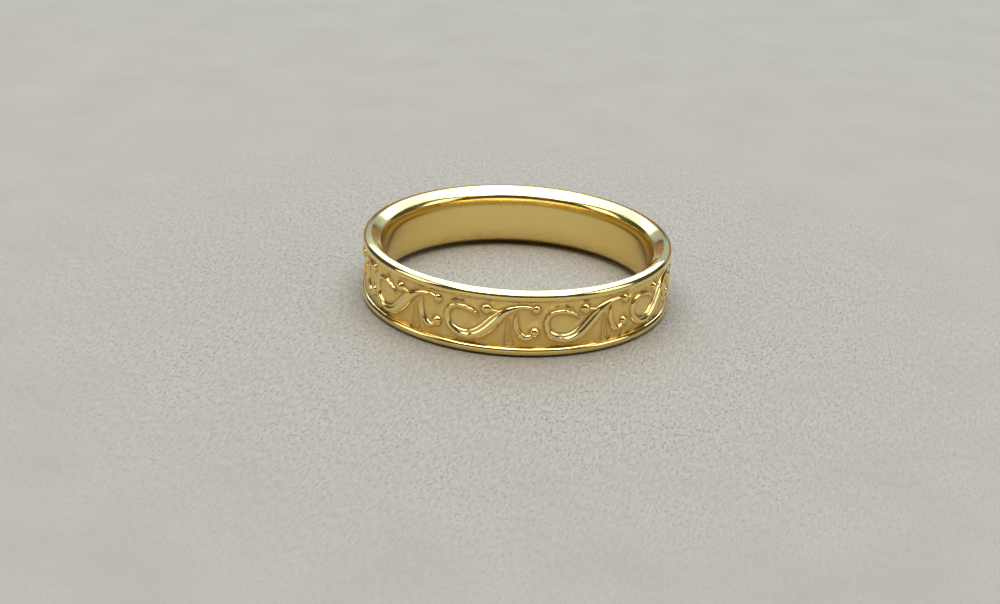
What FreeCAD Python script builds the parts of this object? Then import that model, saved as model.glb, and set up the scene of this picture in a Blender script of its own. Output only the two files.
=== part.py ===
"""Wedding band with a scroll border, built up the way a goldsmith fabricates one.

A comfort-fit sleeve carries a thin ground strip between two edge rails. Ten repeats of
scrollwork are laid on the strip: a long leaf scroll, a bud stem, a lower curl and a dart leaf,
each its own piece, with small beads (granules) closing their ends. Everything is soldered, so
nothing on the band moves.

Frame: millimetres, +Z along the finger, origin at the centre of the bore at mid-width.
Angles run round +Z from -Y, where the middle of the first repeat lies.
"""

import FreeCAD, Part
import math
import os

Vector = FreeCAD.Vector

# Driving dimensions of the band
BORE_RADIUS = 8.65          # half of 17.3 mm, a middle ring size
OUTER_RADIUS = 10.0         # over the rails
BAND_WIDTH = 4.2            # along the finger
SLEEVE_WALL = 0.80          # sleeve, from the bore to the joint under the rails and strip
BEVEL_RADIUS = 8.77         # where the comfort-fit curve of the bore meets the bevel of the rim
BEVEL_DEPTH = 0.48          # from the rim down to there
BEVEL_ROUND = 0.50          # rounds that meeting
COMFORT_LENGTH = 0.91       # how far the comfort-fit curve reaches along the finger
RAIL_WIDTH = 0.60           # along the finger
RAIL_EDGE_ROUND = 0.32      # rail corner at the edge of the band
RAIL_STEP_ROUND = 0.24      # rail corner beside the sunk field
RELIEF_DEPTH = 0.30         # from the top of the rails down to the ground strip

# The scroll border
REPEATS = 10
SCROLL_HEIGHT = 0.27        # above the ground strip
CURL_HEIGHT = 0.25
BUD_HEIGHT = 0.20
DART_HEIGHT = 0.12

# Worked out from the driving dimensions
HALF_WIDTH = BAND_WIDTH / 2
JOINT_RADIUS = BORE_RADIUS + SLEEVE_WALL
GROUND_RADIUS = OUTER_RADIUS - RELIEF_DEPTH
FIELD_HALF = HALF_WIDTH - RAIL_WIDTH
BORE_HALF = HALF_WIDTH - BEVEL_DEPTH - COMFORT_LENGTH
REPEAT_ANGLE = 360.0 / REPEATS
CUTTER_INNER = GROUND_RADIUS - 0.5
CUTTER_OUTER = OUTER_RADIUS + 0.5
TOLERANCE = 1e-4

# Centrelines of one repeat, as (round the band, across the band, half width). The first is an
# arc length on the ground strip from the middle of the repeat, the second is height in Z.
LEAF_SCROLL = [
    (-0.84, 0.32, 0.06),
    (-1.14, 0.56, 0.13),
    (-1.56, 0.72, 0.16),
    (-2.00, 0.82, 0.17),
    (-2.46, 0.75, 0.18),
    (-2.77, 0.49, 0.18),
    (-2.87, 0.08, 0.18),
    (-2.77, -0.37, 0.20),
    (-2.45, -0.70, 0.24),
    (-2.00, -0.90, 0.28),
    (-1.50, -0.93, 0.31),
    (-1.02, -0.79, 0.34),
    (-0.58, -0.50, 0.37),
    (-0.18, -0.11, 0.39),
    (0.21, 0.31, 0.37),
    (0.62, 0.70, 0.29),
    (1.06, 0.97, 0.20),
    (1.52, 1.13, 0.15),
    (1.96, 1.17, 0.13),
    (2.34, 1.09, 0.12),
    (2.52, 1.02, 0.11),
]
LOWER_CURL = [
    (1.46, 0.74, 0.05),
    (1.37, 0.42, 0.12),
    (1.37, 0.02, 0.17),
    (1.48, -0.35, 0.19),
    (1.69, -0.67, 0.19),
    (1.99, -0.83, 0.17),
    (2.28, -0.75, 0.13),
    (2.48, -0.60, 0.11),
]
BUD_STEM = [
    (0.46, 0.74, 0.07),
    (0.16, 0.76, 0.11),
    (-0.14, 0.80, 0.12),
    (-0.34, 0.84, 0.11),
]
DART_LEAF = [
    (0.92, 0.34, 0.03),
    (0.90, -0.10, 0.10),
    (0.93, -0.60, 0.17),
    (0.98, -1.10, 0.23),
    (1.01, -1.46, 0.26),
]

# Beads of one repeat, as (round the band, across the band, spread, height)
ARCH_BEAD = (2.55, 1.00, 0.30, 0.27)
CURL_BEAD = (2.52, -0.50, 0.32, 0.28)
BUD_BEAD = (-0.42, 0.86, 0.36, 0.29)


def revolve(edges):
    """Turns a closed profile of edges in the XZ plane into a solid of revolution round Z."""
    face = Part.Face(Part.Wire(edges))
    return face.revolve(Vector(0, 0, 0), Vector(0, 0, 1), 360)


def line(start, end):
    """A straight edge between two (radius, height) points of a profile."""
    return Part.LineSegment(Vector(start[0], 0, start[1]), Vector(end[0], 0, end[1])).toShape()


def corner(centre, radius, angles):
    """A round corner of a profile through three angles, in degrees from straight outwards."""
    places = [
        Vector(centre[0] + radius * math.cos(math.radians(angle)), 0,
               centre[1] + radius * math.sin(math.radians(angle)))
        for angle in angles
    ]
    return Part.Arc(*places).toShape()


def comfort_curve(side):
    """The slow curve from the straight bore out to one bevel; side is 1 for the upper edge."""
    reach = BEVEL_RADIUS - BORE_RADIUS
    radius = (reach ** 2 + COMFORT_LENGTH ** 2) / (2 * reach)
    swing = side * math.degrees(math.asin(COMFORT_LENGTH / radius))
    centre = (BORE_RADIUS + radius, side * BORE_HALF)
    return corner(centre, radius, (180, 180 - swing / 2, 180 - swing))


def comfort_sleeve():
    """The inner sleeve: a straight bore, two slow curves and a bevel at each rim."""
    bevel_height = HALF_WIDTH - BEVEL_DEPTH
    sleeve = revolve([
        line((BORE_RADIUS, -BORE_HALF), (BORE_RADIUS, BORE_HALF)),
        comfort_curve(1),
        line((BEVEL_RADIUS, bevel_height), (JOINT_RADIUS, HALF_WIDTH)),
        line((JOINT_RADIUS, HALF_WIDTH), (JOINT_RADIUS, -HALF_WIDTH)),
        line((JOINT_RADIUS, -HALF_WIDTH), (BEVEL_RADIUS, -bevel_height)),
        comfort_curve(-1),
    ])
    meetings = [
        edge for edge in sleeve.Edges
        if abs(edge.BoundBox.XMax - BEVEL_RADIUS) < TOLERANCE and edge.BoundBox.ZLength < TOLERANCE
    ]
    return sleeve.makeFillet(BEVEL_ROUND, meetings)


def ground_strip():
    """The thin flat strip between the rails that the scrollwork is laid on."""
    corners = [
        (JOINT_RADIUS, -FIELD_HALF),
        (GROUND_RADIUS, -FIELD_HALF),
        (GROUND_RADIUS, FIELD_HALF),
        (JOINT_RADIUS, FIELD_HALF),
    ]
    return revolve([line(corners[i - 1], corners[i]) for i in range(len(corners))])


def edge_rail(side):
    """One edge rail, a rectangular wire with its two outer corners rounded."""
    edge = side * HALF_WIDTH
    field = side * FIELD_HALF
    edge_centre = (OUTER_RADIUS - RAIL_EDGE_ROUND, edge - side * RAIL_EDGE_ROUND)
    step_centre = (OUTER_RADIUS - RAIL_STEP_ROUND, field + side * RAIL_STEP_ROUND)
    return revolve([
        line((JOINT_RADIUS, edge), (edge_centre[0], edge)),
        corner(edge_centre, RAIL_EDGE_ROUND, (side * 90, side * 45, 0)),
        line((OUTER_RADIUS, edge_centre[1]), (OUTER_RADIUS, step_centre[1])),
        corner(step_centre, RAIL_STEP_ROUND, (0, -side * 45, -side * 90)),
        line((step_centre[0], field), (JOINT_RADIUS, field)),
        line((JOINT_RADIUS, field), (JOINT_RADIUS, edge)),
    ])


def on_plane(point, radius):
    """A flat motif point, carried out from the axis to the plane that touches the given radius."""
    angle = point[0] / GROUND_RADIUS
    return Vector(radius * math.tan(angle), -radius, point[1])


def stroke_sides(points):
    """The left and right borders of a tapering stroke, and the rounded tips at its two ends."""
    left, right, tips = [], [], []
    for index, (around, across, half) in enumerate(points):
        before = points[max(index - 1, 0)]
        after = points[min(index + 1, len(points) - 1)]
        run = math.hypot(after[0] - before[0], after[1] - before[1])
        along = ((after[0] - before[0]) / run, (after[1] - before[1]) / run)
        left.append((around - along[1] * half, across + along[0] * half))
        right.append((around + along[1] * half, across - along[0] * half))
        if index in (0, len(points) - 1):
            out = half if index else -half
            tips.append((around + along[0] * out, across + along[1] * out))
    return left, right, tips


def stroke_outline(points, radius):
    """The closed outline of a stroke on the plane that touches the given radius."""
    left, right, tips = stroke_sides(points)
    stretches = [
        left,
        [left[-1], tips[1], right[-1]],
        right[::-1],
        [right[0], tips[0], left[0]],
    ]
    edges = []
    for stretch in stretches:
        curve = Part.BSplineCurve()
        curve.interpolate([on_plane(point, radius) for point in stretch])
        edges.append(curve.toShape())
    return Part.Wire(edges)


def relief_shell(height):
    """The layer of space above the ground strip that a piece of the given height fills."""
    tall = 2 * FIELD_HALF
    base = Vector(0, 0, -FIELD_HALF)
    outside = Part.makeCylinder(GROUND_RADIUS + height, tall, base)
    return outside.cut(Part.makeCylinder(GROUND_RADIUS, tall, base))


def stroke(points, height):
    """A stroke of scrollwork whose walls stand square to the band and whose top follows it."""
    outlines = [stroke_outline(points, radius) for radius in (CUTTER_INNER, CUTTER_OUTER)]
    return Part.makeLoft(outlines, True, True).common(relief_shell(height))


def bead_ball(bead_size):
    """The full ball that a bead is cut from, sunk so deep that its cap has the bead's size."""
    around, across, spread, height = bead_size
    radius = (spread ** 2 + height ** 2) / (2 * height)
    reach = GROUND_RADIUS + height - radius
    angle = around / GROUND_RADIUS
    return Part.makeSphere(radius, Vector(reach * math.sin(angle), -reach * math.cos(angle), across))


def bead(bead_size):
    """A domed bead standing on the ground strip."""
    band = Part.makeCylinder(GROUND_RADIUS, BAND_WIDTH, Vector(0, 0, -HALF_WIDTH))
    return bead_ball(bead_size).cut(band)


def repeats(shape):
    """The same piece at every repeat round the band."""
    copies = []
    for number in range(REPEATS):
        copy = shape.copy()
        copy.rotate(Vector(0, 0, 0), Vector(0, 0, 1), number * REPEAT_ANGLE)
        copies.append(copy)
    return copies


def scroll_pieces():
    """One repeat's scrollwork, each piece trimmed where it meets the one before it."""
    scroll = stroke(LEAF_SCROLL, SCROLL_HEIGHT).cut(bead_ball(ARCH_BEAD))
    curl = stroke(LOWER_CURL, CURL_HEIGHT).cut(bead_ball(CURL_BEAD))
    stem = stroke(BUD_STEM, BUD_HEIGHT).cut(bead_ball(BUD_BEAD)).cut(scroll)
    dart = stroke(DART_LEAF, DART_HEIGHT).cut(scroll).cut(curl)
    return {"leaf_scroll": scroll, "lower_curl": curl, "bud_stem": stem, "dart_leaf": dart}


def beads():
    """The three kinds of bead, each kind a group of separate beads round the band."""
    kinds = {"arch_beads": ARCH_BEAD, "curl_beads": CURL_BEAD, "bud_beads": BUD_BEAD}
    return {name: Part.makeCompound(repeats(bead(size))) for name, size in kinds.items()}


def main():
    """Builds every piece and writes each to its own STEP file."""
    parts = {
        "comfort_sleeve": comfort_sleeve(),
        "ground_strip": ground_strip(),
        "upper_rail": edge_rail(1),
        "lower_rail": edge_rail(-1),
    }
    parts.update(beads())
    for kind, shape in scroll_pieces().items():
        for number, copy in enumerate(repeats(shape), start=1):
            parts[f"{kind}_{number:02d}"] = copy
    os.makedirs("parts", exist_ok=True)
    for name, shape in parts.items():
        shape.exportStep(f"parts/{name}.step")
        print(name, "solids", len(shape.Solids), "valid", shape.isValid(),
              "volume", round(shape.Volume, 4))


main()
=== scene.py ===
"""A yellow gold wedding band with a running scroll border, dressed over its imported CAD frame.

Every visible piece stands for one CAD node: the sleeve, the ground strip, the two edge rails, the
scrollwork of each of the ten repeats, and the three kinds of bead. Sizes that the frame knows are
read from it, and the others are fields of the class that uses them, in metres. The scrollwork is
drawn flat, as (round the band, across the band, half width) in millimetres, and wrapped on the
ground strip by its Geometry Nodes tree.
"""

import logging
import math
from dataclasses import dataclass, field
from enum import Enum
from typing import Optional, Union

import bmesh
import bpy
from bpy.types import ID, Material, Mesh, Node, NodeSocket, NodeTree, Object
from mathutils import Matrix, Vector


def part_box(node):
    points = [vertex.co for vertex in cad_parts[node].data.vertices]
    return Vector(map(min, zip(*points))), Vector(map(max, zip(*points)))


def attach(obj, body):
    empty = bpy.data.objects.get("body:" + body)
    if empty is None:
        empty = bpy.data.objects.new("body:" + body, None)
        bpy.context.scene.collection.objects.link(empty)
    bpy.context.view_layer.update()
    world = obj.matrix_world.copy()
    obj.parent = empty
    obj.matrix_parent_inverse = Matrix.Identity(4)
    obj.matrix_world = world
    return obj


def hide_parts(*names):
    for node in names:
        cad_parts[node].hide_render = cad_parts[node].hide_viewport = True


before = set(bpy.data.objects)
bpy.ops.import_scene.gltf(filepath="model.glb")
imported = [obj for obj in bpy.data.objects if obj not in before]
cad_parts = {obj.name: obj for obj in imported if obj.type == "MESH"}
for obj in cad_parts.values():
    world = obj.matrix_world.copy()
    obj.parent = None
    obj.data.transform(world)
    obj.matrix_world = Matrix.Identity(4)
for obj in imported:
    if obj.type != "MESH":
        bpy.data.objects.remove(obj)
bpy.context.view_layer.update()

MM = 0.001
BODY = "root"
MERGE_DISTANCE = 1e-7
SHORTEST_EDGE = 1e-8
WORKING_ATTRIBUTES = ("half_width", "spine", "side", "half", "level", "along", "v", "rise")

Pair = tuple[float, float]
Triple = tuple[float, float, float]

log = logging.getLogger("wedding_band")


class Slot(Enum):
    """The record's material slots."""

    BAND = "band_gold"
    FIELD = "field_gold"
    SCROLL = "scroll_gold"


class Side(Enum):
    """The two edges of the band, as signs along the finger."""

    UPPER = 1
    LOWER = -1


# ------------------------------------------------------------
# Node trees


Value = Union["Flow", float, int, tuple, Material]


class Flow:
    """A value that travels through a node tree and takes ordinary arithmetic."""

    def __init__(self, maker: "NodeMaker", socket: NodeSocket) -> None:
        """Keeps the maker and the output socket that carries the value."""
        self.maker = maker
        self.socket = socket

    def __add__(self, other: Value) -> "Flow":
        """Sum."""
        return self.maker.math("ADD", self, other)

    def __radd__(self, other: Value) -> "Flow":
        """Sum, the number first."""
        return self.maker.math("ADD", other, self)

    def __sub__(self, other: Value) -> "Flow":
        """Difference."""
        return self.maker.math("SUBTRACT", self, other)

    def __rsub__(self, other: Value) -> "Flow":
        """Difference, the number first."""
        return self.maker.math("SUBTRACT", other, self)

    def __mul__(self, other: Value) -> "Flow":
        """Product."""
        return self.maker.math("MULTIPLY", self, other)

    def __rmul__(self, other: Value) -> "Flow":
        """Product, the number first."""
        return self.maker.math("MULTIPLY", other, self)

    def __truediv__(self, other: Value) -> "Flow":
        """Quotient."""
        return self.maker.math("DIVIDE", self, other)

    def __pow__(self, other: Value) -> "Flow":
        """Power."""
        return self.maker.math("POWER", self, other)


class NodeMaker:
    """Adds nodes to a tree and joins them, for Geometry Nodes and materials alike."""

    def __init__(self, tree: NodeTree) -> None:
        """Keeps the tree that the nodes go in."""
        self.tree = tree

    def add(self, kind: str, inputs: Optional[dict] = None, **settings: object) -> Node:
        """Adds one node.

        Args:
            kind: the node's type name.
            inputs: what each input socket gets, by name or number: a Flow or a plain value.
            **settings: the node's own properties.

        Returns:
            The node.
        """
        node = self.tree.nodes.new(kind)
        for name, value in settings.items():
            setattr(node, name, value)
        for key, value in (inputs or {}).items():
            if isinstance(value, Flow):
                self.tree.links.new(value.socket, node.inputs[key])
            else:
                node.inputs[key].default_value = value
        return node

    def flow(self, kind: str, inputs: Optional[dict] = None, out: Union[int, str] = 0,
             **settings: object) -> Flow:
        """Adds one node and returns one of its outputs."""
        return Flow(self, self.add(kind, inputs, **settings).outputs[out])

    def math(self, operation: str, *values: Value) -> Flow:
        """A Math node on one, two or three values."""
        return self.flow("ShaderNodeMath", dict(enumerate(values)), operation=operation)

    def combine(self, x: Value, y: Value, z: Value) -> Flow:
        """A vector from its three parts."""
        return self.flow("ShaderNodeCombineXYZ", {0: x, 1: y, 2: z})

    def separate(self, vector: Flow) -> tuple[Flow, Flow, Flow]:
        """The three parts of a vector."""
        node = self.add("ShaderNodeSeparateXYZ", {0: vector})
        return tuple(Flow(self, node.outputs[part]) for part in range(3))

    def ramp(self, value: Flow, low: Value, high: Value) -> Flow:
        """A smooth step that is 0 at low and 1 at high."""
        return self.flow(
            "ShaderNodeMapRange",
            {"Value": value, "From Min": low, "From Max": high, "To Min": 0.0, "To Max": 1.0},
            interpolation_type="SMOOTHSTEP",
        )

    def noise(self, place: Flow, scale: Triple, detail: float = 1.0) -> Flow:
        """A noise pattern between 0 and 1 with its own scale along each direction."""
        stretched = self.flow("ShaderNodeVectorMath", {0: place, 1: scale}, operation="MULTIPLY")
        return self.flow(
            "ShaderNodeTexNoise", {"Vector": stretched, "Scale": 1.0, "Detail": detail})

    def bell(self, value: Flow, centre: Value, width: Value) -> Flow:
        """A bell that is 1 at centre and fades over about one width to each side."""
        reach = (value - centre) / width
        return self.math("EXPONENT", reach * reach * -1.0)


class Geometry(NodeMaker):
    """A Geometry Nodes tree with named inputs, which ends in a plain dressed mesh."""

    def __init__(self, name: str) -> None:
        """Starts the tree with its geometry sockets."""
        super().__init__(bpy.data.node_groups.new(name, "GeometryNodeTree"))
        for way in ("INPUT", "OUTPUT"):
            self.tree.interface.new_socket(
                "Geometry", in_out=way, socket_type="NodeSocketGeometry")
        self.source = self.tree.nodes.new("NodeGroupInput")

    @property
    def shape(self) -> Flow:
        """The geometry that the modifier is given."""
        return Flow(self, self.source.outputs[0])

    def size(self, name: str, kind: str = "NodeSocketFloat") -> Flow:
        """Adds a named input of the tree."""
        self.tree.interface.new_socket(name, in_out="INPUT", socket_type=kind)
        return Flow(self, self.source.outputs[name])

    def sizes(self, *names: str) -> list[Flow]:
        """Adds several named inputs, all of them plain numbers."""
        return [self.size(name) for name in names]

    def store(self, shape: Flow, name: str, value: Value, kind: str = "FLOAT") -> Flow:
        """Keeps a value on every point under a name."""
        return self.flow(
            "GeometryNodeStoreNamedAttribute",
            {"Geometry": shape, "Name": name, "Value": value},
            data_type=kind, domain="POINT",
        )

    def read(self, name: str, kind: str = "FLOAT") -> Flow:
        """A value that was kept under a name."""
        return self.flow("GeometryNodeInputNamedAttribute", {"Name": name}, data_type=kind)

    def position(self) -> tuple[Flow, Flow, Flow]:
        """The three parts of a point's position."""
        return self.separate(self.flow("GeometryNodeInputPosition"))

    def place(self, shape: Flow, position: Flow) -> Flow:
        """Puts every point at a position."""
        return self.flow("GeometryNodeSetPosition", {"Geometry": shape, "Position": position})

    def on_band(self, around: Flow, across: Flow, relief: Flow, ground: Flow, turn: Flow) -> Flow:
        """The place on the band of a flat point.

        Args:
            around: arc length on the ground strip.
            across: height along the finger.
            relief: height above the ground strip.
            ground: radius of the ground strip.
            turn: angle of the repeat round the band.

        Returns:
            The position.
        """
        angle = around / ground + turn
        return self.polar(ground + relief, angle, across)

    def polar(self, reach: Flow, angle: Flow, up: Flow) -> Flow:
        """The place at a radius, an angle from the front of the band and a height."""
        return self.combine(
            reach * self.math("SINE", angle), reach * self.math("COSINE", angle) * -1.0, up)

    def finish(self, shape: Flow) -> NodeTree:
        """Ends the tree: real meshes, smooth, in the material that the modifier names.

        Args:
            shape: the finished geometry.

        Returns:
            The whole tree.
        """
        material = self.size("Material", "NodeSocketMaterial")
        real = self.flow("GeometryNodeRealizeInstances", {"Geometry": shape})
        smooth = self.flow("GeometryNodeSetShadeSmooth", {"Geometry": real})
        dressed = self.flow("GeometryNodeSetMaterial", {"Geometry": smooth, "Material": material})
        self.tree.links.new(dressed.socket, self.tree.nodes.new("NodeGroupOutput").inputs[0])
        return self.tree


# ------------------------------------------------------------
# Finished pieces


def guide_mesh(name: str, points: list[Triple], closed: bool,
               widths: Optional[list[float]] = None) -> Mesh:
    """A line of points that a tree turns or sweeps.

    Args:
        name: the mesh's name.
        points: the line's points.
        closed: True if the last point joins the first.
        widths: a half width for each point, kept as the attribute half_width.

    Returns:
        The mesh, with points and edges only.
    """
    count = len(points)
    edges = [(i, (i + 1) % count) for i in range(count if closed else count - 1)]
    mesh = bpy.data.meshes.new(name)
    mesh.from_pydata(points, edges, [])
    if widths:
        mesh.attributes.new("half_width", "FLOAT", "POINT").data.foreach_set("value", widths)
    return mesh


def in_scene(name: str, data: ID) -> Object:
    """A new object in the scene, at the origin, with that mesh, light or camera."""
    thing = bpy.data.objects.new(name, data)
    bpy.context.scene.collection.objects.link(thing)
    return thing


def bake(name: str, guide: Mesh, tree: NodeTree, sizes: dict) -> Object:
    """Runs a tree on a guide and keeps the result as a plain, closed, outward-facing mesh.

    Args:
        name: the piece's name.
        guide: the mesh that the tree works on.
        tree: the Geometry Nodes tree.
        sizes: the value of each of the tree's named inputs.

    Returns:
        The piece, at the origin, with no modifier.
    """
    piece = in_scene(name, guide)
    modifier = piece.modifiers.new("shape", "NODES")
    modifier.node_group = tree
    for item in tree.interface.items_tree:
        if item.in_out == "INPUT" and item.name in sizes:
            modifier[item.identifier] = sizes[item.name]
    bpy.context.view_layer.update()
    evaluated = piece.evaluated_get(bpy.context.evaluated_depsgraph_get())
    mesh = bpy.data.meshes.new_from_object(evaluated)
    piece.modifiers.remove(modifier)
    piece.data = mesh
    mesh.name = name
    bpy.data.meshes.remove(guide)
    close_and_face_out(mesh)
    return piece


def close_and_face_out(mesh: Mesh) -> None:
    """Merges doubles, points every face outwards and drops the tree's working attributes.

    Args:
        mesh: the mesh to put right.
    """
    work = bmesh.new()
    work.from_mesh(mesh)
    bmesh.ops.remove_doubles(work, verts=work.verts, dist=MERGE_DISTANCE)
    bmesh.ops.dissolve_degenerate(work, edges=work.edges, dist=SHORTEST_EDGE)
    bmesh.ops.recalc_face_normals(work, faces=work.faces)
    work.to_mesh(mesh)
    work.free()
    for name in WORKING_ATTRIBUTES:
        if name in mesh.attributes:
            mesh.attributes.remove(mesh.attributes[name])


def hand_in(piece: Object, slot: Slot, *nodes: str) -> None:
    """Rides a finished piece on the band's body in place of its CAD nodes, and reports it.

    Args:
        piece: the finished piece.
        slot: not used; the record's material slot that the piece shows.
        *nodes: the CAD nodes that it stands for.
    """
    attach(piece, BODY)
    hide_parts(*nodes)
    log.info("%s: %d faces, stands for %s", piece.name, len(piece.data.polygons), ", ".join(nodes))


# ------------------------------------------------------------
# Finishes


class Surface(NodeMaker):
    """A material's tree, which ends in one Principled shader."""

    def __init__(self, name: str) -> None:
        """Starts an empty material."""
        self.material = bpy.data.materials.new(name)
        self.material.use_nodes = True
        self.material.node_tree.nodes.clear()
        super().__init__(self.material.node_tree)

    def mix(self, share: Flow, first: Union[Flow, Triple], second: Triple) -> Flow:
        """A colour that goes from the first to the second as the share goes from 0 to 1."""
        low, high = (end if isinstance(end, Flow) else (*end, 1.0) for end in (first, second))
        return self.flow("ShaderNodeMix", {0: share, 6: low, 7: high}, out=2, data_type="RGBA")

    def bump(self, height: Flow) -> Flow:
        """The normal that a height in metres gives."""
        return self.flow(
            "ShaderNodeBump", {"Strength": 1.0, "Distance": 1.0, "Height": height}, out="Normal")

    def finish(self, inputs: dict) -> Material:
        """Ends the tree in a Principled shader.

        Args:
            inputs: what each of the shader's sockets gets.

        Returns:
            The material.
        """
        shader = self.add("ShaderNodeBsdfPrincipled", inputs)
        output = self.add("ShaderNodeOutputMaterial")
        self.tree.links.new(shader.outputs[0], output.inputs["Surface"])
        return self.material


@dataclass(frozen=True)
class GoldFinish:
    """Solid yellow gold with the polish, wear and handling marks that a worn band carries.

    The patterns follow the band: polishing lines run round it, and smudges and pits are set out
    in arc length, width and radius, all worked out from Object coordinates. Where a piece keeps
    its closeness to raised pieces and rails, the gold there is darkened to a brown: painted shade
    in those corners, with some patina.

    gold is the colour at the radius high and deep_gold the colour at low: the gold darkens
    towards the bottom of the relief and inside the band, painted shade that the smudges break up.
    polish is the roughness of unsmudged gold, and haze what smudges and scuffs add. A span is
    where an effect starts and where it is full, and a grain is a pattern's fineness in each
    direction, per metre.
    """

    name: str
    gold: Triple
    deep_gold: Triple
    polish: float
    haze: float
    line_depth: float
    pit_depth: float
    low: float
    high: float
    # The brown of the painted shade, with some patina, beside raised pieces and rails.
    shade_and_patina: Triple = (0.38, 0.19, 0.07)
    least_shade_and_patina: float = 0.15
    most_shade_and_patina: float = 0.85
    smudge_grain: Triple = (420.0, 620.0, 420.0)
    smudge_middle: float = 0.45
    # How far smudges break up the painted shade from deep_gold to gold, and where that shade is
    # full.
    smudge_wear: float = 1.3
    wear_and_shade_span: Pair = (0.05, 0.75)
    haze_span: Pair = (0.42, 0.68)
    scuff_grain: Triple = (2600.0, 900.0, 900.0)
    scuff_span: Pair = (0.55, 0.72)
    scuff_haze: float = 0.5
    line_grain: Triple = (260.0, 21000.0, 9000.0)
    pit_grain: Triple = (5200.0, 5200.0, 5200.0)

    def build(self) -> Material:
        """Makes the material.

        Returns:
            The material.
        """
        surface = Surface(self.name)
        coordinates = surface.flow("ShaderNodeTexCoord", out="Object")
        x, y, z = surface.separate(coordinates)
        radius = surface.math("SQRT", x * x + y * y)
        around = surface.math("ARCTAN2", x, y * -1.0) * self.high
        unrolled = surface.combine(around, z, radius)
        smudge = surface.noise(unrolled, self.smudge_grain, detail=3.0)
        pits = surface.noise(coordinates, self.pit_grain, detail=2.0)
        lines = surface.noise(unrolled, self.line_grain, detail=3.0)
        scuffs = surface.noise(unrolled, self.scuff_grain, detail=4.0)
        # Painted shade: the colour darkens from gold at the top of the relief to deep_gold low in
        # it, broken up by smudges.
        depth = surface.ramp(radius, self.low, self.high)
        wear_and_shade = depth + (smudge - self.smudge_middle) * self.smudge_wear
        worn_and_unshaded = surface.ramp(wear_and_shade, *self.wear_and_shade_span)
        depth_shaded = surface.mix(worn_and_unshaded, self.deep_gold, self.gold)
        # Painted shade, with some patina: a darker brown where the ground meets raised pieces and
        # rails.
        recess = surface.flow("ShaderNodeAttribute", out="Fac", attribute_name="recess")
        shade_and_patina_share = surface.math("MINIMUM", recess * (self.least_shade_and_patina + smudge), self.most_shade_and_patina)
        rough = (self.polish
                 + self.haze * surface.ramp(smudge, *self.haze_span)
                 + self.haze * self.scuff_haze * surface.ramp(scuffs, *self.scuff_span)
                 + (1.0 - depth) * self.haze)
        return surface.finish({
            "Base Color": surface.mix(shade_and_patina_share, depth_shaded, self.shade_and_patina),
            "Metallic": 1.0,
            "Roughness": rough,
            "Normal": surface.bump(lines * self.line_depth + pits * self.pit_depth),
        })


@dataclass(frozen=True)
class ClothFinish:
    """The pale, fine knit cloth that the band lies on, with small gaps between its stitches.

    The knit is at its clearest within near of the middle of the band and at its faintest from far
    outwards. lay turns its rows a little from the band's own axes.
    """

    name: str = "pale_cloth"
    light: Triple = (0.330, 0.304, 0.258)
    dark: Triple = (0.255, 0.233, 0.202)
    gap: Triple = (0.190, 0.168, 0.156)
    near: float = 13.0 * MM
    far: float = 42.0 * MM
    fading: float = 0.85
    lay: float = 0.1
    stitch: Triple = (6400.0, 1500.0, 1.0)
    pinhole: Triple = (6600.0, 3200.0, 1.0)
    pinhole_span: Pair = (0.72, 0.86)
    mottle: Triple = (170.0, 150.0, 1.0)
    mottle_shade: float = 0.2
    mottle_pinholes: float = 0.3
    shade_span: Pair = (0.32, 0.68)
    weave_depth: float = 0.012 * MM
    roughness: float = 0.95
    gloss: float = 0.1

    def build(self) -> Material:
        """Makes the material.

        Returns:
            The material.
        """
        surface = Surface(self.name)
        coordinates = surface.flow("ShaderNodeTexCoord", out="Object")
        laid = surface.flow("ShaderNodeVectorRotate", {"Vector": coordinates, "Angle": self.lay},
                            rotation_type="Z_AXIS")
        x, y, _ = surface.separate(coordinates)
        away = surface.ramp(surface.math("SQRT", x * x + y * y), self.near, self.far)
        shown = 1.0 - away * self.fading
        weave = 0.5 + (surface.noise(laid, self.stitch, detail=2.0) - 0.5) * shown
        patches = surface.noise(laid, self.mottle, detail=3.0)
        pinholes = surface.noise(laid, self.pinhole) + patches * self.mottle_pinholes
        shade = weave * (1.0 - self.mottle_shade) + patches * self.mottle_shade
        holes = surface.ramp(pinholes, *self.pinhole_span) * shown
        cloth = surface.mix(surface.ramp(shade, *self.shade_span), self.dark, self.light)
        return surface.finish({
            "Base Color": surface.mix(holes, cloth, self.gap),
            "Roughness": self.roughness,
            "Normal": surface.bump(weave * self.weave_depth),
            "Specular IOR Level": self.gloss,
        })


# ------------------------------------------------------------
# The band


@dataclass
class BandSizes:
    """The sizes that the frame knows, in metres."""

    bore_radius: float
    joint_radius: float
    ground_radius: float
    outer_radius: float
    half_width: float
    field_half: float
    repeats: int = 10

    @classmethod
    def from_frame(cls) -> "BandSizes":
        """Reads the sizes off the CAD nodes.

        Returns:
            The sizes.
        """
        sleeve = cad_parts["comfort_sleeve"].data
        bore = min(math.hypot(vertex.co.x, vertex.co.y) for vertex in sleeve.vertices)
        return cls(
            bore_radius=bore,
            joint_radius=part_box("comfort_sleeve")[1][0],
            ground_radius=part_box("ground_strip")[1][0],
            outer_radius=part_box("upper_rail")[1][0],
            half_width=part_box("upper_rail")[1][2],
            field_half=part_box("upper_rail")[0][2],
        )

    @property
    def repeat_angle(self) -> float:
        """The angle of one repeat of the border."""
        return math.tau / self.repeats


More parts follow.
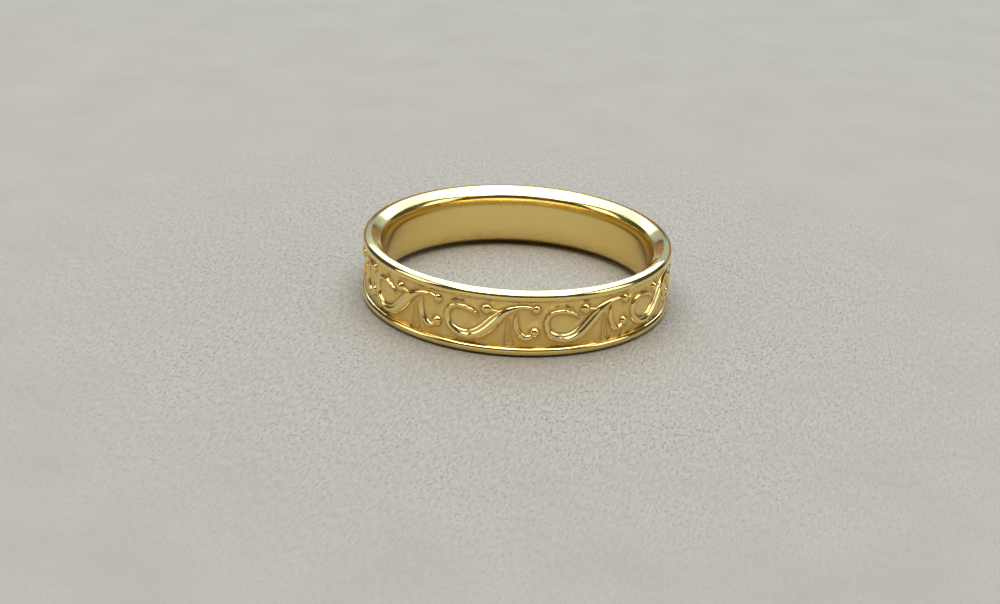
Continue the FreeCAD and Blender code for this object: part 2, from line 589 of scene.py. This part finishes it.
def arc(centre: Pair, radii: Pair, start: float, end: float,
        steps: int) -> list[Pair]:
    """Points along an elliptical arc of a section.

    Args:
        centre: the arc's centre, as (radius, height).
        radii: its half lengths along the radius and along the height.
        start: the first angle, in degrees from straight outwards.
        end: the last angle.
        steps: the number of stretches.

    Returns:
        The points, as (radius, height).
    """
    angles = [math.radians(start + (end - start) * i / steps) for i in range(steps + 1)]
    return [(centre[0] + radii[0] * math.cos(angle), centre[1] + radii[1] * math.sin(angle))
            for angle in angles]


def straight(start: Pair, end: Pair, steps: int) -> list[Pair]:
    """Points inside a straight stretch of a section, without its two ends."""
    width, rise = end[0] - start[0], end[1] - start[1]
    shares = [i / steps for i in range(1, steps)]
    return [(start[0] + width * share, start[1] + rise * share) for share in shares]


def rounded(before: Pair, corner: Pair, after: Pair,
            radius: float, steps: int = 6) -> list[Pair]:
    """Points of the round that replaces a sharp corner of a section.

    Args:
        before: a point of the stretch that leads to the corner.
        corner: the sharp corner.
        after: a point of the stretch that leaves it.
        radius: the round's radius.
        steps: the number of stretches.

    Returns:
        The points, as (radius, height), from the first stretch to the second.
    """
    tip = Vector(corner)
    back, on = (Vector(before) - tip).normalized(), (Vector(after) - tip).normalized()
    half = back.angle(on) / 2
    centre = tip + (back + on).normalized() * (radius / math.sin(half))
    first = tip + back * (radius / math.tan(half)) - centre
    last = tip + on * (radius / math.tan(half)) - centre
    return [tuple(centre + first.lerp(last, i / steps).normalized() * radius)
            for i in range(steps + 1)]


WAVE_GRAIN = (380.0, 380.0, 900.0)


def turned_tree() -> NodeTree:
    """A tree that turns a closed section round the finger's axis, wavy from hand polishing.

    The waves only sink the surface, so the ring never grows past its section.

    Returns:
        The tree.
    """
    g = Geometry("turned_ring")
    segments = g.size("Segments", "NodeSocketInt")
    wave, half_width = g.sizes("Wave height", "Half width")
    ring = turn_section(g, segments)
    sunk = wave * g.noise(g.flow("GeometryNodeInputPosition"), WAVE_GRAIN)
    x, y, up = g.position()
    inward = 1.0 - sunk / g.math("SQRT", x * x + y * y)
    lowered = 1.0 - sunk / half_width
    return g.finish(g.place(ring, g.combine(x * inward, y * inward, up * lowered)))


def turn_section(g: Geometry, segments: Flow) -> Flow:
    """Adds the nodes that turn the modifier's own section into a closed ring.

    Args:
        g: the tree.
        segments: the number of steps round the ring.

    Returns:
        The ring. Its points keep their angle as "v" and their radius and height as "spine".
    """
    x, y, _ = g.position()
    section = g.store(g.shape, "spine", g.combine(x, y, 0.0), "FLOAT_VECTOR")
    section = g.flow("GeometryNodeMeshToCurve", {"Mesh": section})
    circle = g.flow("GeometryNodeCurvePrimitiveCircle", {"Resolution": segments, "Radius": 1.0},
                    mode="RADIUS")
    index = g.flow("GeometryNodeInputIndex")
    circle = g.store(circle, "v", index / segments * math.tau)
    ring = g.flow("GeometryNodeCurveToMesh", {"Curve": circle, "Profile Curve": section})
    angle = g.read("v")
    reach, up, _ = g.separate(g.read("spine", "FLOAT_VECTOR"))
    return g.place(ring, g.polar(reach, angle, up))


@dataclass
class PlainRings:
    """The comfort-fit sleeve and the two edge rails, turned from their sections.

    bend_clearance is the share of the bevel's round that the slow curve leaves free for it, and
    face_lean the angle, in degrees, by which a rail's face is crowned at its corners.
    """

    sizes: BandSizes
    tree: NodeTree
    bevel_radius: float = 8.77 * MM
    bevel_depth: float = 0.48 * MM
    bevel_round: float = 0.50 * MM
    comfort_length: float = 0.91 * MM
    edge_round: float = 0.32 * MM
    step_round: float = 0.24 * MM
    lip_round: float = 0.02 * MM
    rim_crown: float = 0.03 * MM
    foot_groove: float = 0.05 * MM
    bend_clearance: float = 0.37
    face_lean: float = 8.0
    wave: float = 0.014 * MM
    segments: int = 720
    curve_steps: int = 24
    round_steps: int = 12
    rim_steps: int = 8
    bore_steps: int = 6
    bevel_steps: int = 4

    def sleeve_section(self) -> list[Pair]:
        """The sleeve: a short straight bore, two slow comfort-fit curves and two bevels.

        Returns:
            The closed section's points, as (radius, height).
        """
        reach = self.bevel_radius - self.sizes.bore_radius
        curve = (reach ** 2 + self.comfort_length ** 2) / (2 * reach)
        swing = math.degrees(math.asin(self.comfort_length / curve))
        bevel_height = self.sizes.half_width - self.bevel_depth
        bore_half = bevel_height - self.comfort_length
        meeting = (self.bevel_radius, bevel_height)
        rim = (self.sizes.joint_radius, self.sizes.half_width)
        centre = (self.sizes.bore_radius + curve, bore_half)
        slow = arc(centre, (curve, curve), 180, 180 - swing, self.curve_steps)
        clearance = self.bevel_round * self.bend_clearance
        slow = [point for point in slow if math.dist(point, meeting) > clearance]
        bend = rounded(slow[-1], meeting, rim, self.bevel_round, self.round_steps)
        bevel = straight(bend[-1], rim, self.bevel_steps)
        upper = slow + bend + bevel + rounded(meeting, rim, (rim[0], 0.0), self.lip_round)
        lower = [(radius, -height) for radius, height in reversed(upper)]
        return lower + straight(lower[-1], upper[0], self.bore_steps) + upper

    def rail_section(self, side: Side) -> list[Pair]:
        """A rail: a crowned rim, a crowned outer face, and round corners between them.

        Args:
            side: the edge of the band that the rail runs along.

        Returns:
            The closed section's points, as (radius, height).
        """
        edge = self.sizes.half_width
        foot = self.sizes.field_half
        inner = self.sizes.joint_radius
        outer = self.sizes.outer_radius
        low_edge = edge - self.rim_crown
        rim_end = outer - self.edge_round
        steps = self.rim_steps
        lip = rounded((inner, foot), (inner, edge), (outer, edge), self.lip_round)
        rim = [(inner + (rim_end - inner) * i / steps, edge - self.rim_crown * (i / steps) ** 2)
               for i in range(1, steps)]
        round_up, step_up = low_edge - self.edge_round, foot + self.step_round
        corner = arc((rim_end, round_up), (self.edge_round, self.edge_round),
                     90, self.face_lean, self.round_steps)
        face = [(outer, (round_up + step_up) / 2)]
        step = arc((outer - self.step_round, step_up), (self.step_round, self.step_round),
                   -self.face_lean, -90, self.round_steps)
        groove = [(self.sizes.ground_radius - self.foot_groove, foot), (inner, foot)]
        half_section = lip + rim + corner + face + step + groove
        return [(radius, height * side.value) for radius, height in half_section]

    def ring(self, name: str, section: list[Pair],
             finish: Material) -> Object:
        """Turns one section into a finished ring."""
        points = [(radius, height, 0.0) for radius, height in section]
        guide = guide_mesh(name, points, closed=True)
        return bake(name, guide, self.tree, {
            "Segments": self.segments, "Wave height": self.wave,
            "Half width": self.sizes.half_width, "Material": finish})

    def build(self, finish: Material) -> None:
        """Builds the three rings and hands them in.

        Args:
            finish: the material of all three.
        """
        sleeve = self.ring("sleeve_polished", self.sleeve_section(), finish)
        hand_in(sleeve, Slot.BAND, "comfort_sleeve")
        for side in Side:
            name = side.name.lower()
            piece = self.ring(f"{name}_rail_polished", self.rail_section(side), finish)
            hand_in(piece, Slot.BAND, f"{name}_rail")


@dataclass
class Stroke:
    """One stroke of scrollwork, drawn flat in millimetres.

    points are (round the band, across the band, half width), from one end to the other. lean
    raises the right-hand side of the stroke and lowers the left, the vein is a groove cut along
    it, and lobes swell its right-hand side near its first end. samples are the rings along the
    stroke and the points round each.
    """

    name: str
    points: list[Triple]
    height: float
    samples: tuple[int, int]
    lean: float = 0.0
    vein_place: float = 0.0
    vein_depth: float = 0.0
    vein_width: float = 0.2
    vein_span: Pair = (0.1, 0.9)
    lobe_size: float = 0.0
    sink: float = 0.05


LEAF_SCROLL = Stroke(
    name="leaf_scroll",
    points=[
        (-0.84, 0.32, 0.06), (-1.14, 0.56, 0.13), (-1.56, 0.72, 0.16), (-2.00, 0.82, 0.17),
        (-2.46, 0.75, 0.18), (-2.77, 0.49, 0.18), (-2.87, 0.08, 0.18), (-2.77, -0.37, 0.20),
        (-2.45, -0.70, 0.24), (-2.00, -0.90, 0.28), (-1.50, -0.93, 0.31), (-1.02, -0.79, 0.34),
        (-0.58, -0.50, 0.37), (-0.18, -0.11, 0.39), (0.21, 0.31, 0.37), (0.62, 0.70, 0.29),
        (1.06, 0.97, 0.20), (1.52, 1.13, 0.15), (1.96, 1.17, 0.13), (2.34, 1.09, 0.12),
        (2.52, 1.02, 0.11),
    ],
    height=0.28,
    samples=(260, 48),
    lean=0.22,
    vein_place=0.38,
    vein_depth=0.42,
    vein_width=0.17,
    vein_span=(0.38, 0.80),
    lobe_size=0.30,
)

LOWER_CURL = Stroke(
    name="lower_curl",
    points=[
        (1.46, 0.74, 0.05), (1.37, 0.42, 0.12), (1.37, 0.02, 0.17), (1.48, -0.35, 0.19),
        (1.69, -0.67, 0.19), (1.99, -0.83, 0.17), (2.28, -0.75, 0.13), (2.48, -0.60, 0.11),
    ],
    height=0.26,
    samples=(110, 40),
    lean=0.15,
    vein_place=0.3,
    vein_depth=0.25,
    vein_span=(0.1, 0.6),
)

BUD_STEM = Stroke(
    name="bud_stem",
    points=[(0.46, 0.74, 0.07), (0.16, 0.76, 0.11), (-0.14, 0.80, 0.12), (-0.34, 0.84, 0.11)],
    height=0.21,
    samples=(48, 32),
)

DART_LEAF = Stroke(
    name="dart_leaf",
    points=[
        (0.92, 0.34, 0.03), (0.90, -0.10, 0.10), (0.93, -0.60, 0.17), (0.98, -1.10, 0.23),
        (1.01, -1.48, 0.26),
    ],
    height=0.13,
    samples=(90, 48),
    vein_depth=0.55,
    vein_width=0.22,
    vein_span=(0.15, 0.9),
)


SPLINE_STEPS = 16
THINNEST_END = 0.06         # share of the stroke's width that its ends keep
END_POWER = 0.7             # below 1, the ends stay high until close to the tip
HAIRLINE_HEIGHT = 0.62      # share of the height that a hairline has
FULL_HEIGHT_WIDTH = 0.3 * MM
DOME_POWER = 0.8            # below 1, the dome has steeper flanks than a half circle
LOBE_PITCH = 0.42 * MM
LOBE_FADE = (1.0 * MM, 1.5 * MM)
VEIN_FADE = 0.12


def stroke_tree() -> NodeTree:
    """A tree that sweeps a domed, veined stroke along a flat guide and wraps it on the band.

    Returns:
        The tree.
    """
    g = Geometry("wrapped_stroke")
    along_count = g.size("Samples along", "NodeSocketInt")
    across_count = g.size("Samples across", "NodeSocketInt")
    ground, turn, height, sink, lean, lobe_size = g.sizes(
        "Ground radius", "Turn", "Height", "Sink", "Lean", "Lobe size")
    vein_place, vein_depth, vein_width, vein_start, vein_end = g.sizes(
        "Vein place", "Vein depth", "Vein width", "Vein start", "Vein end")

    path = g.flow("GeometryNodeMeshToCurve", {"Mesh": g.shape})
    path = g.flow("GeometryNodeCurveSplineType", {"Curve": path}, spline_type="CATMULL_ROM")
    path = g.flow("GeometryNodeSetSplineResolution",
                  {"Geometry": path, "Resolution": SPLINE_STEPS})
    path = g.flow("GeometryNodeResampleCurve", {"Curve": path, "Count": along_count}, mode="COUNT")
    parameter = g.add("GeometryNodeSplineParameter")
    share = Flow(g, parameter.outputs["Factor"])
    run = Flow(g, parameter.outputs["Length"])
    half = g.read("half_width")
    from_end = g.math("MINIMUM", run, g.flow("GeometryNodeSplineLength") - run)
    short = 1.0 - g.math("MINIMUM", from_end / half, 1.0)
    rounding = g.math("MAXIMUM", g.math("SQRT", 1.0 - short * short), THINNEST_END)
    breadth = g.math("MINIMUM", half / FULL_HEIGHT_WIDTH, 1.0)
    body = HAIRLINE_HEIGHT + (1.0 - HAIRLINE_HEIGHT) * breadth
    tangent_x, tangent_y, _ = g.separate(g.flow("GeometryNodeInputTangent"))
    path = g.store(path, "spine", g.flow("GeometryNodeInputPosition"), "FLOAT_VECTOR")
    path = g.store(path, "side", g.combine(tangent_y * -1.0, tangent_x, run), "FLOAT_VECTOR")
    path = g.store(path, "half", half * rounding)
    path = g.store(path, "level", height * body * rounding ** END_POWER)
    path = g.store(path, "along", share)

    round_profile = g.flow("GeometryNodeCurvePrimitiveCircle",
                           {"Resolution": across_count, "Radius": 1.0}, mode="RADIUS")
    profile_x, profile_y, _ = g.position()
    round_profile = g.store(round_profile, "v", profile_x)
    round_profile = g.store(round_profile, "rise", profile_y)
    swept = g.flow("GeometryNodeCurveToMesh",
                   {"Curve": path, "Profile Curve": round_profile, "Fill Caps": True})

    across = g.read("v")
    rise = g.read("rise")
    along = g.read("along")
    spine_x, spine_y, _ = g.separate(g.read("spine", "FLOAT_VECTOR"))
    side_x, side_y, side_run = g.separate(g.read("side", "FLOAT_VECTOR"))
    near_start = 1.0 - g.ramp(side_run, *LOBE_FADE)
    wave = g.math("ABSOLUTE", g.math("SINE", side_run * (math.pi / LOBE_PITCH)))
    swell = 1.0 + lobe_size * near_start * wave * g.math("MAXIMUM", across * -1.0, 0.0)
    offset = g.read("half") * across * swell
    dome = g.math("MAXIMUM", rise, 0.0) ** DOME_POWER
    vein_in = g.ramp(along, vein_start, vein_start + VEIN_FADE)
    vein_out = g.ramp(along, vein_end - VEIN_FADE, vein_end)
    vein = 1.0 - vein_depth * (vein_in * (1.0 - vein_out)) * g.bell(across, vein_place, vein_width)
    raised = g.read("level") * dome * (1.0 - lean * across) * vein
    relief = raised + g.math("MINIMUM", rise, 0.0) * sink
    wrapped = g.on_band(spine_x + side_x * offset, spine_y + side_y * offset, relief, ground, turn)
    return g.finish(g.place(swept, wrapped))


@dataclass
class Scrollwork:
    """The swept pieces of the border: every stroke at every repeat, each a piece of its own."""

    sizes: BandSizes
    tree: NodeTree
    strokes: tuple[Stroke, ...] = (LEAF_SCROLL, LOWER_CURL, BUD_STEM, DART_LEAF)
    pieces: list[Object] = field(default_factory=list)

    def piece(self, stroke: Stroke, number: int, finish: Material) -> Object:
        """Builds one stroke at one repeat.

        Args:
            stroke: the stroke.
            number: the repeat, counted from 1 at the front of the band.
            finish: the stroke's material.

        Returns:
            The finished piece.
        """
        name = f"{stroke.name}_{number:02d}_chased"
        points = [(around * MM, across * MM, 0.0) for around, across, _ in stroke.points]
        widths = [half * MM for _, _, half in stroke.points]
        guide = guide_mesh(name, points, closed=False, widths=widths)
        return bake(name, guide, self.tree, {
            "Samples along": stroke.samples[0], "Samples across": stroke.samples[1],
            "Ground radius": self.sizes.ground_radius,
            "Turn": (number - 1) * self.sizes.repeat_angle,
            "Height": stroke.height * MM, "Sink": stroke.sink * MM,
            "Lean": stroke.lean, "Lobe size": stroke.lobe_size,
            "Vein place": stroke.vein_place, "Vein depth": stroke.vein_depth,
            "Vein width": stroke.vein_width,
            "Vein start": stroke.vein_span[0], "Vein end": stroke.vein_span[1],
            "Material": finish})

    def build(self, finish: Material) -> None:
        """Builds every stroke at every repeat and hands it in.

        Args:
            finish: the material of all of them.
        """
        for stroke in self.strokes:
            for number in range(1, self.sizes.repeats + 1):
                piece = self.piece(stroke, number, finish)
                hand_in(piece, Slot.SCROLL, f"{stroke.name}_{number:02d}")
                self.pieces.append(piece)


BALL_SEGMENTS = 48
BALL_RINGS = 32


def bead_tree() -> NodeTree:
    """A tree that sets a domed bead at every point of a flat guide and wraps them on the band.

    Returns:
        The tree.
    """
    g = Geometry("set_beads")
    radius, height, ground, sink = g.sizes("Ball radius", "Height", "Ground radius", "Sink")
    ball = g.flow("GeometryNodeMeshUVSphere",
                  {"Segments": BALL_SEGMENTS, "Rings": BALL_RINGS, "Radius": radius})
    set_out = g.flow("GeometryNodeInstanceOnPoints", {"Points": g.shape, "Instance": ball})
    real = g.flow("GeometryNodeRealizeInstances", {"Geometry": set_out})
    around, across, relief = g.position()
    relief = g.math("MAXIMUM", relief + height - radius, sink * -1.0)
    return g.finish(g.place(real, g.on_band(around, across, relief, ground, 0.0)))


@dataclass(frozen=True)
class Bead:
    """One kind of bead: its node, its place in the repeat, its spread and its height, in mm."""

    node: str
    around: float
    across: float
    spread: float
    height: float

    @property
    def ball_radius(self) -> float:
        """The radius of the ball whose cap has the bead's spread and height."""
        return (self.spread ** 2 + self.height ** 2) / (2 * self.height)


@dataclass
class Beads:
    """The three kinds of bead, with one bead of each kind in every repeat."""

    sizes: BandSizes
    tree: NodeTree
    kinds: tuple[Bead, ...] = (
        Bead("arch_beads", 2.55, 1.00, 0.30, 0.27),
        Bead("curl_beads", 2.52, -0.50, 0.32, 0.28),
        Bead("bud_beads", -0.42, 0.86, 0.36, 0.29),
    )
    sink: float = 0.06 * MM
    pieces: list[Object] = field(default_factory=list)

    def build(self, finish: Material) -> None:
        """Builds each kind as one piece and hands it in.

        Args:
            finish: the beads' material.
        """
        pitch = self.sizes.repeat_angle * self.sizes.ground_radius
        for bead in self.kinds:
            places = [(bead.around * MM + pitch * i, bead.across * MM, 0.0)
                      for i in range(self.sizes.repeats)]
            guide = bpy.data.meshes.new(bead.node)
            guide.from_pydata(places, [], [])
            piece = bake(f"{bead.node}_polished", guide, self.tree, {
                "Ball radius": bead.ball_radius * MM, "Height": bead.height * MM,
                "Ground radius": self.sizes.ground_radius, "Sink": self.sink, "Material": finish})
            hand_in(piece, Slot.SCROLL, bead.node)
            self.pieces.append(piece)


@dataclass(frozen=True)
class Patch:
    """A soft oval place in each repeat: its centre and spread, round and across the band."""

    around: float
    across: float
    spread_around: float
    spread_across: float

    def shown(self, g: Geometry, around: Flow, across: Flow) -> Flow:
        """How much a point of the repeat lies in the patch, from 0 to 1."""
        return (g.bell(around, self.around, self.spread_around)
                * g.bell(across, self.across, self.spread_across))


UNDER_ARCH = Patch(1.75 * MM, -0.25 * MM, 0.75 * MM, 0.85 * MM)
INSIDE_SCROLL = Patch(-1.85 * MM, -0.05 * MM, 0.62 * MM, 0.52 * MM)
STREAK_GRAIN = (5200.0, 5200.0, 800.0)
DENT_GRAIN = (1500.0, 1500.0, 1300.0)
LEAST_CHASING = 0.25        # share of the chasing's depth away from the arches
FACE_TOLERANCE = 0.001 * MM
REPEAT_SHIFT = 10.5         # ten repeats that keep the count positive, and half a one


def ground_tree() -> NodeTree:
    """A tree that turns the ground strip and raises its outer face to meet the scrollwork.

    The face rises in a small fillet beside every raised piece, is dented all over by the punch,
    is chased in fine upright lines under each arch, and is pillowed inside each leaf scroll. It
    keeps how close each point lies to a raised piece or a rail, for the painted shade, with some
    patina, that the gold finish puts in those corners.

    Returns:
        The tree.
    """
    g = Geometry("chased_ground")
    segments = g.size("Segments", "NodeSocketInt")
    ground, repeat_angle, field_half, recess_reach = g.sizes(
        "Ground radius", "Repeat angle", "Field half", "Recess reach")
    fillet, fillet_reach, chase, pillow, hammer = g.sizes(
        "Fillet height", "Fillet reach", "Chase depth", "Pillow height", "Hammer depth")
    scrollwork = g.size("Scrollwork", "NodeSocketCollection")

    ring = turn_section(g, segments)
    target = g.flow("GeometryNodeRealizeInstances",
                    {"Geometry": g.flow("GeometryNodeCollectionInfo", {"Collection": scrollwork})})
    gap = g.flow("GeometryNodeProximity", {0: target}, out="Distance", target_element="FACES")
    x, y, up = g.position()
    radius = g.math("SQRT", x * x + y * y)
    outer_face = g.math("GREATER_THAN", radius, ground - FACE_TOLERANCE)
    turn = g.math("ARCTAN2", x, y * -1.0)
    local = (g.math("FRACT", turn / repeat_angle + REPEAT_SHIFT) - 0.5) * repeat_angle * ground
    beside_work = g.bell(gap, 0.0, fillet_reach)
    here = g.flow("GeometryNodeInputPosition")
    streaks = g.noise(here, STREAK_GRAIN)
    dents = g.noise(here, DENT_GRAIN)
    rise = (fillet * beside_work
            + chase * (streaks - 0.5) * (LEAST_CHASING + UNDER_ARCH.shown(g, local, up))
            + hammer * (dents - 0.5)
            + pillow * INSIDE_SCROLL.shown(g, local, up))
    # Closeness to the rails and raised pieces, kept for the painted shade, with some patina, in
    # those corners.
    beside_rail = g.bell(g.math("ABSOLUTE", up), field_half, recess_reach)
    ring = g.store(ring, "recess", g.math("MAXIMUM", beside_rail, g.bell(gap, 0.0, recess_reach)))
    return g.finish(g.place(ring, g.polar(radius + rise * outer_face, turn, up)))


@dataclass
class GroundStrip:
    """The strip between the rails that the scrollwork is laid on."""

    sizes: BandSizes
    segments: int = 1440
    rows: int = 56
    fillet: float = 0.075 * MM
    fillet_reach: float = 0.25 * MM
    chase: float = 0.035 * MM
    pillow: float = 0.10 * MM
    hammer: float = 0.11 * MM
    recess_reach: float = 0.11 * MM

    def section(self) -> list[Pair]:
        """The strip's section, with close rows on its outer face only.

        Returns:
            The closed section's points, as (radius, height).
        """
        half, inner = self.sizes.field_half, self.sizes.joint_radius
        outer = self.sizes.ground_radius
        low, high = (outer, -half), (outer, half)
        return [(inner, -half), low] + straight(low, high, self.rows) + [high, (inner, half)]

    def build(self, scrollwork: list[Object], finish: Material) -> None:
        """Builds the strip round the finished scrollwork and hands it in.

        Args:
            scrollwork: the raised pieces that the strip's face rises to meet.
            finish: the strip's material.
        """
        group = bpy.data.collections.new("scrollwork")
        for piece in scrollwork:
            group.objects.link(piece)
        points = [(radius, height, 0.0) for radius, height in self.section()]
        guide = guide_mesh("ground", points, closed=True)
        piece = bake("ground_strip_chased", guide, ground_tree(), {
            "Segments": self.segments, "Ground radius": self.sizes.ground_radius,
            "Repeat angle": self.sizes.repeat_angle,
            "Fillet height": self.fillet, "Fillet reach": self.fillet_reach,
            "Chase depth": self.chase, "Pillow height": self.pillow, "Hammer depth": self.hammer,
            "Field half": self.sizes.field_half, "Recess reach": self.recess_reach,
            "Scrollwork": group, "Material": finish})
        bpy.data.collections.remove(group)
        hand_in(piece, Slot.FIELD, "ground_strip")


# ------------------------------------------------------------
# The setting


@dataclass(frozen=True)
class Softbox:
    """A rectangular softbox that faces the band, in degrees, metres and watts."""

    name: str
    azimuth: float
    elevation: float
    size: Pair
    power: float
    colour: Triple
    away: float = 0.7

    def hang(self) -> None:
        """Puts the softbox in the scene, unseen by the camera itself."""
        light = bpy.data.lights.new(self.name, "AREA")
        light.shape = "RECTANGLE"
        light.size, light.size_y = self.size
        light.energy = self.power
        light.color = self.colour
        lamp = in_scene(self.name, light)
        direction = towards(self.azimuth, self.elevation)
        lamp.location = direction * self.away
        lamp.rotation_mode = "QUATERNION"
        lamp.rotation_quaternion = direction.to_track_quat("Z", "Y")
        lamp.visible_camera = False


def towards(azimuth: float, elevation: float) -> Vector:
    """The direction from the band of a light or camera at that azimuth and elevation."""
    turn, rise = math.radians(azimuth), math.radians(elevation)
    flat = math.cos(rise)
    return Vector((math.sin(turn) * flat, -math.cos(turn) * flat, math.sin(rise)))


@dataclass
class Studio:
    """A plain pale floor and soft studio light, with the camera low in front of the band."""

    sizes: BandSizes
    floor_reach: float = 1.5
    lens: float = 64.8
    sensor: float = 36.0
    distance: float = 117.06 * MM
    azimuth: float = 7.2
    elevation: float = 21.73
    roll: float = 3.05
    shift: Pair = (-0.0164, -0.0377)
    clip: Pair = (1.0 * MM, 20.0)
    room_colour: Triple = (1.0, 0.93, 0.86)
    room_strength: float = 0.075

    def floor(self) -> None:
        """Lays the cloth under the band's lower rim."""
        reach, level = self.floor_reach, -self.sizes.half_width
        signs = ((-1, -1), (1, -1), (1, 1), (-1, 1))
        mesh = bpy.data.meshes.new("floor")
        mesh.from_pydata([(reach * x, reach * y, level) for x, y in signs], [], [(0, 1, 2, 3)])
        mesh.materials.append(ClothFinish().build())
        in_scene("floor", mesh)

    def softboxes(self) -> list[Softbox]:
        """The lights.

        Two broad softboxes hang above the band, a cool one behind it and a white one overhead,
        and the gap between that one and the fill at the front is what draws the dark lines along
        the rims. A strip of low sky and a warm glow stand behind, and faint fills stand at the
        front and at both sides.

        Returns:
            The softboxes.
        """
        front, behind = self.azimuth, 180 + self.azimuth
        return [
            Softbox("back_softbox", behind, 50, (0.72, 0.51), 4.3, (0.60, 0.78, 1.0), away=0.6),
            Softbox("top_softbox", front, 84, (0.70, 0.50), 5.4, (1.0, 0.99, 0.94), away=0.6),
            Softbox("low_sky", behind, 21, (1.20, 0.11), 0.26, (0.55, 0.70, 1.0)),
            Softbox("back_glow", behind, 7, (1.30, 0.15), 0.16, (1.0, 0.58, 0.30)),
            Softbox("front_fill", front, 2.5, (1.30, 0.12), 0.45, (1.0, 0.96, 0.88)),
            Softbox("left_fill", -75, 30, (0.35, 0.40), 0.90, (1.0, 0.95, 0.88)),
            Softbox("right_fill", 85, 30, (0.35, 0.40), 0.90, (0.92, 0.96, 1.0)),
        ]

    def room(self) -> None:
        """Darkens the room round the softboxes."""
        world = bpy.data.worlds.new("room")
        world.use_nodes = True
        background = world.node_tree.nodes["Background"]
        background.inputs["Color"].default_value = (*self.room_colour, 1.0)
        background.inputs["Strength"].default_value = self.room_strength
        bpy.context.scene.world = world

    def camera(self) -> None:
        """Sets the camera low in front of the band, rolled a little."""
        data = bpy.data.cameras.new("camera")
        data.lens = self.lens
        data.sensor_width = self.sensor
        data.shift_x, data.shift_y = self.shift
        data.clip_start, data.clip_end = self.clip
        camera = in_scene("camera", data)
        direction = towards(self.azimuth, self.elevation)
        level = direction.to_track_quat("Z", "Y").to_matrix()
        rolled = level @ Matrix.Rotation(math.radians(self.roll), 3, "Z")
        camera.rotation_mode = "QUATERNION"
        camera.rotation_quaternion = rolled.to_quaternion()
        camera.location = direction * self.distance
        bpy.context.scene.camera = camera

    def build(self) -> None:
        """Sets up the camera, the floor, the softboxes and the room."""
        self.camera()
        self.floor()
        for box in self.softboxes():
            box.hang()
        self.room()
        bpy.context.scene.view_settings.view_transform = "Standard"


def main() -> None:
    """Builds the setting and the band, piece by piece."""
    logging.basicConfig(level=logging.INFO, format="%(name)s: %(message)s")
    sizes = BandSizes.from_frame()
    Studio(sizes).build()
    relief = {"low": sizes.ground_radius, "high": sizes.outer_radius}
    # Each deep_gold is painted shade: low in the relief, and inside the band for the polished
    # gold.
    polished = GoldFinish(
        name="polished_gold", gold=(0.93, 0.73, 0.29), deep_gold=(0.91, 0.70, 0.26), polish=0.07,
        haze=0.07, line_depth=0.6e-7, pit_depth=0.5e-7, low=sizes.bore_radius,
        high=sizes.outer_radius).build()
    chased = GoldFinish(
        name="chased_gold", gold=(0.94, 0.74, 0.30), deep_gold=(0.84, 0.58, 0.18), polish=0.11,
        haze=0.07, line_depth=1.0e-7, pit_depth=1.5e-7, **relief).build()
    matted = GoldFinish(
        name="matted_gold", gold=(0.96, 0.77, 0.31), deep_gold=(0.89, 0.63, 0.21), polish=0.17,
        haze=0.07, line_depth=2.0e-7, pit_depth=4.0e-7, **relief).build()
    PlainRings(sizes, turned_tree()).build(polished)
    scrollwork = Scrollwork(sizes, stroke_tree())
    scrollwork.build(chased)
    beads = Beads(sizes, bead_tree())
    beads.build(chased)
    GroundStrip(sizes).build(scrollwork.pieces + beads.pieces, matted)


if __name__ == "__main__":
    main()
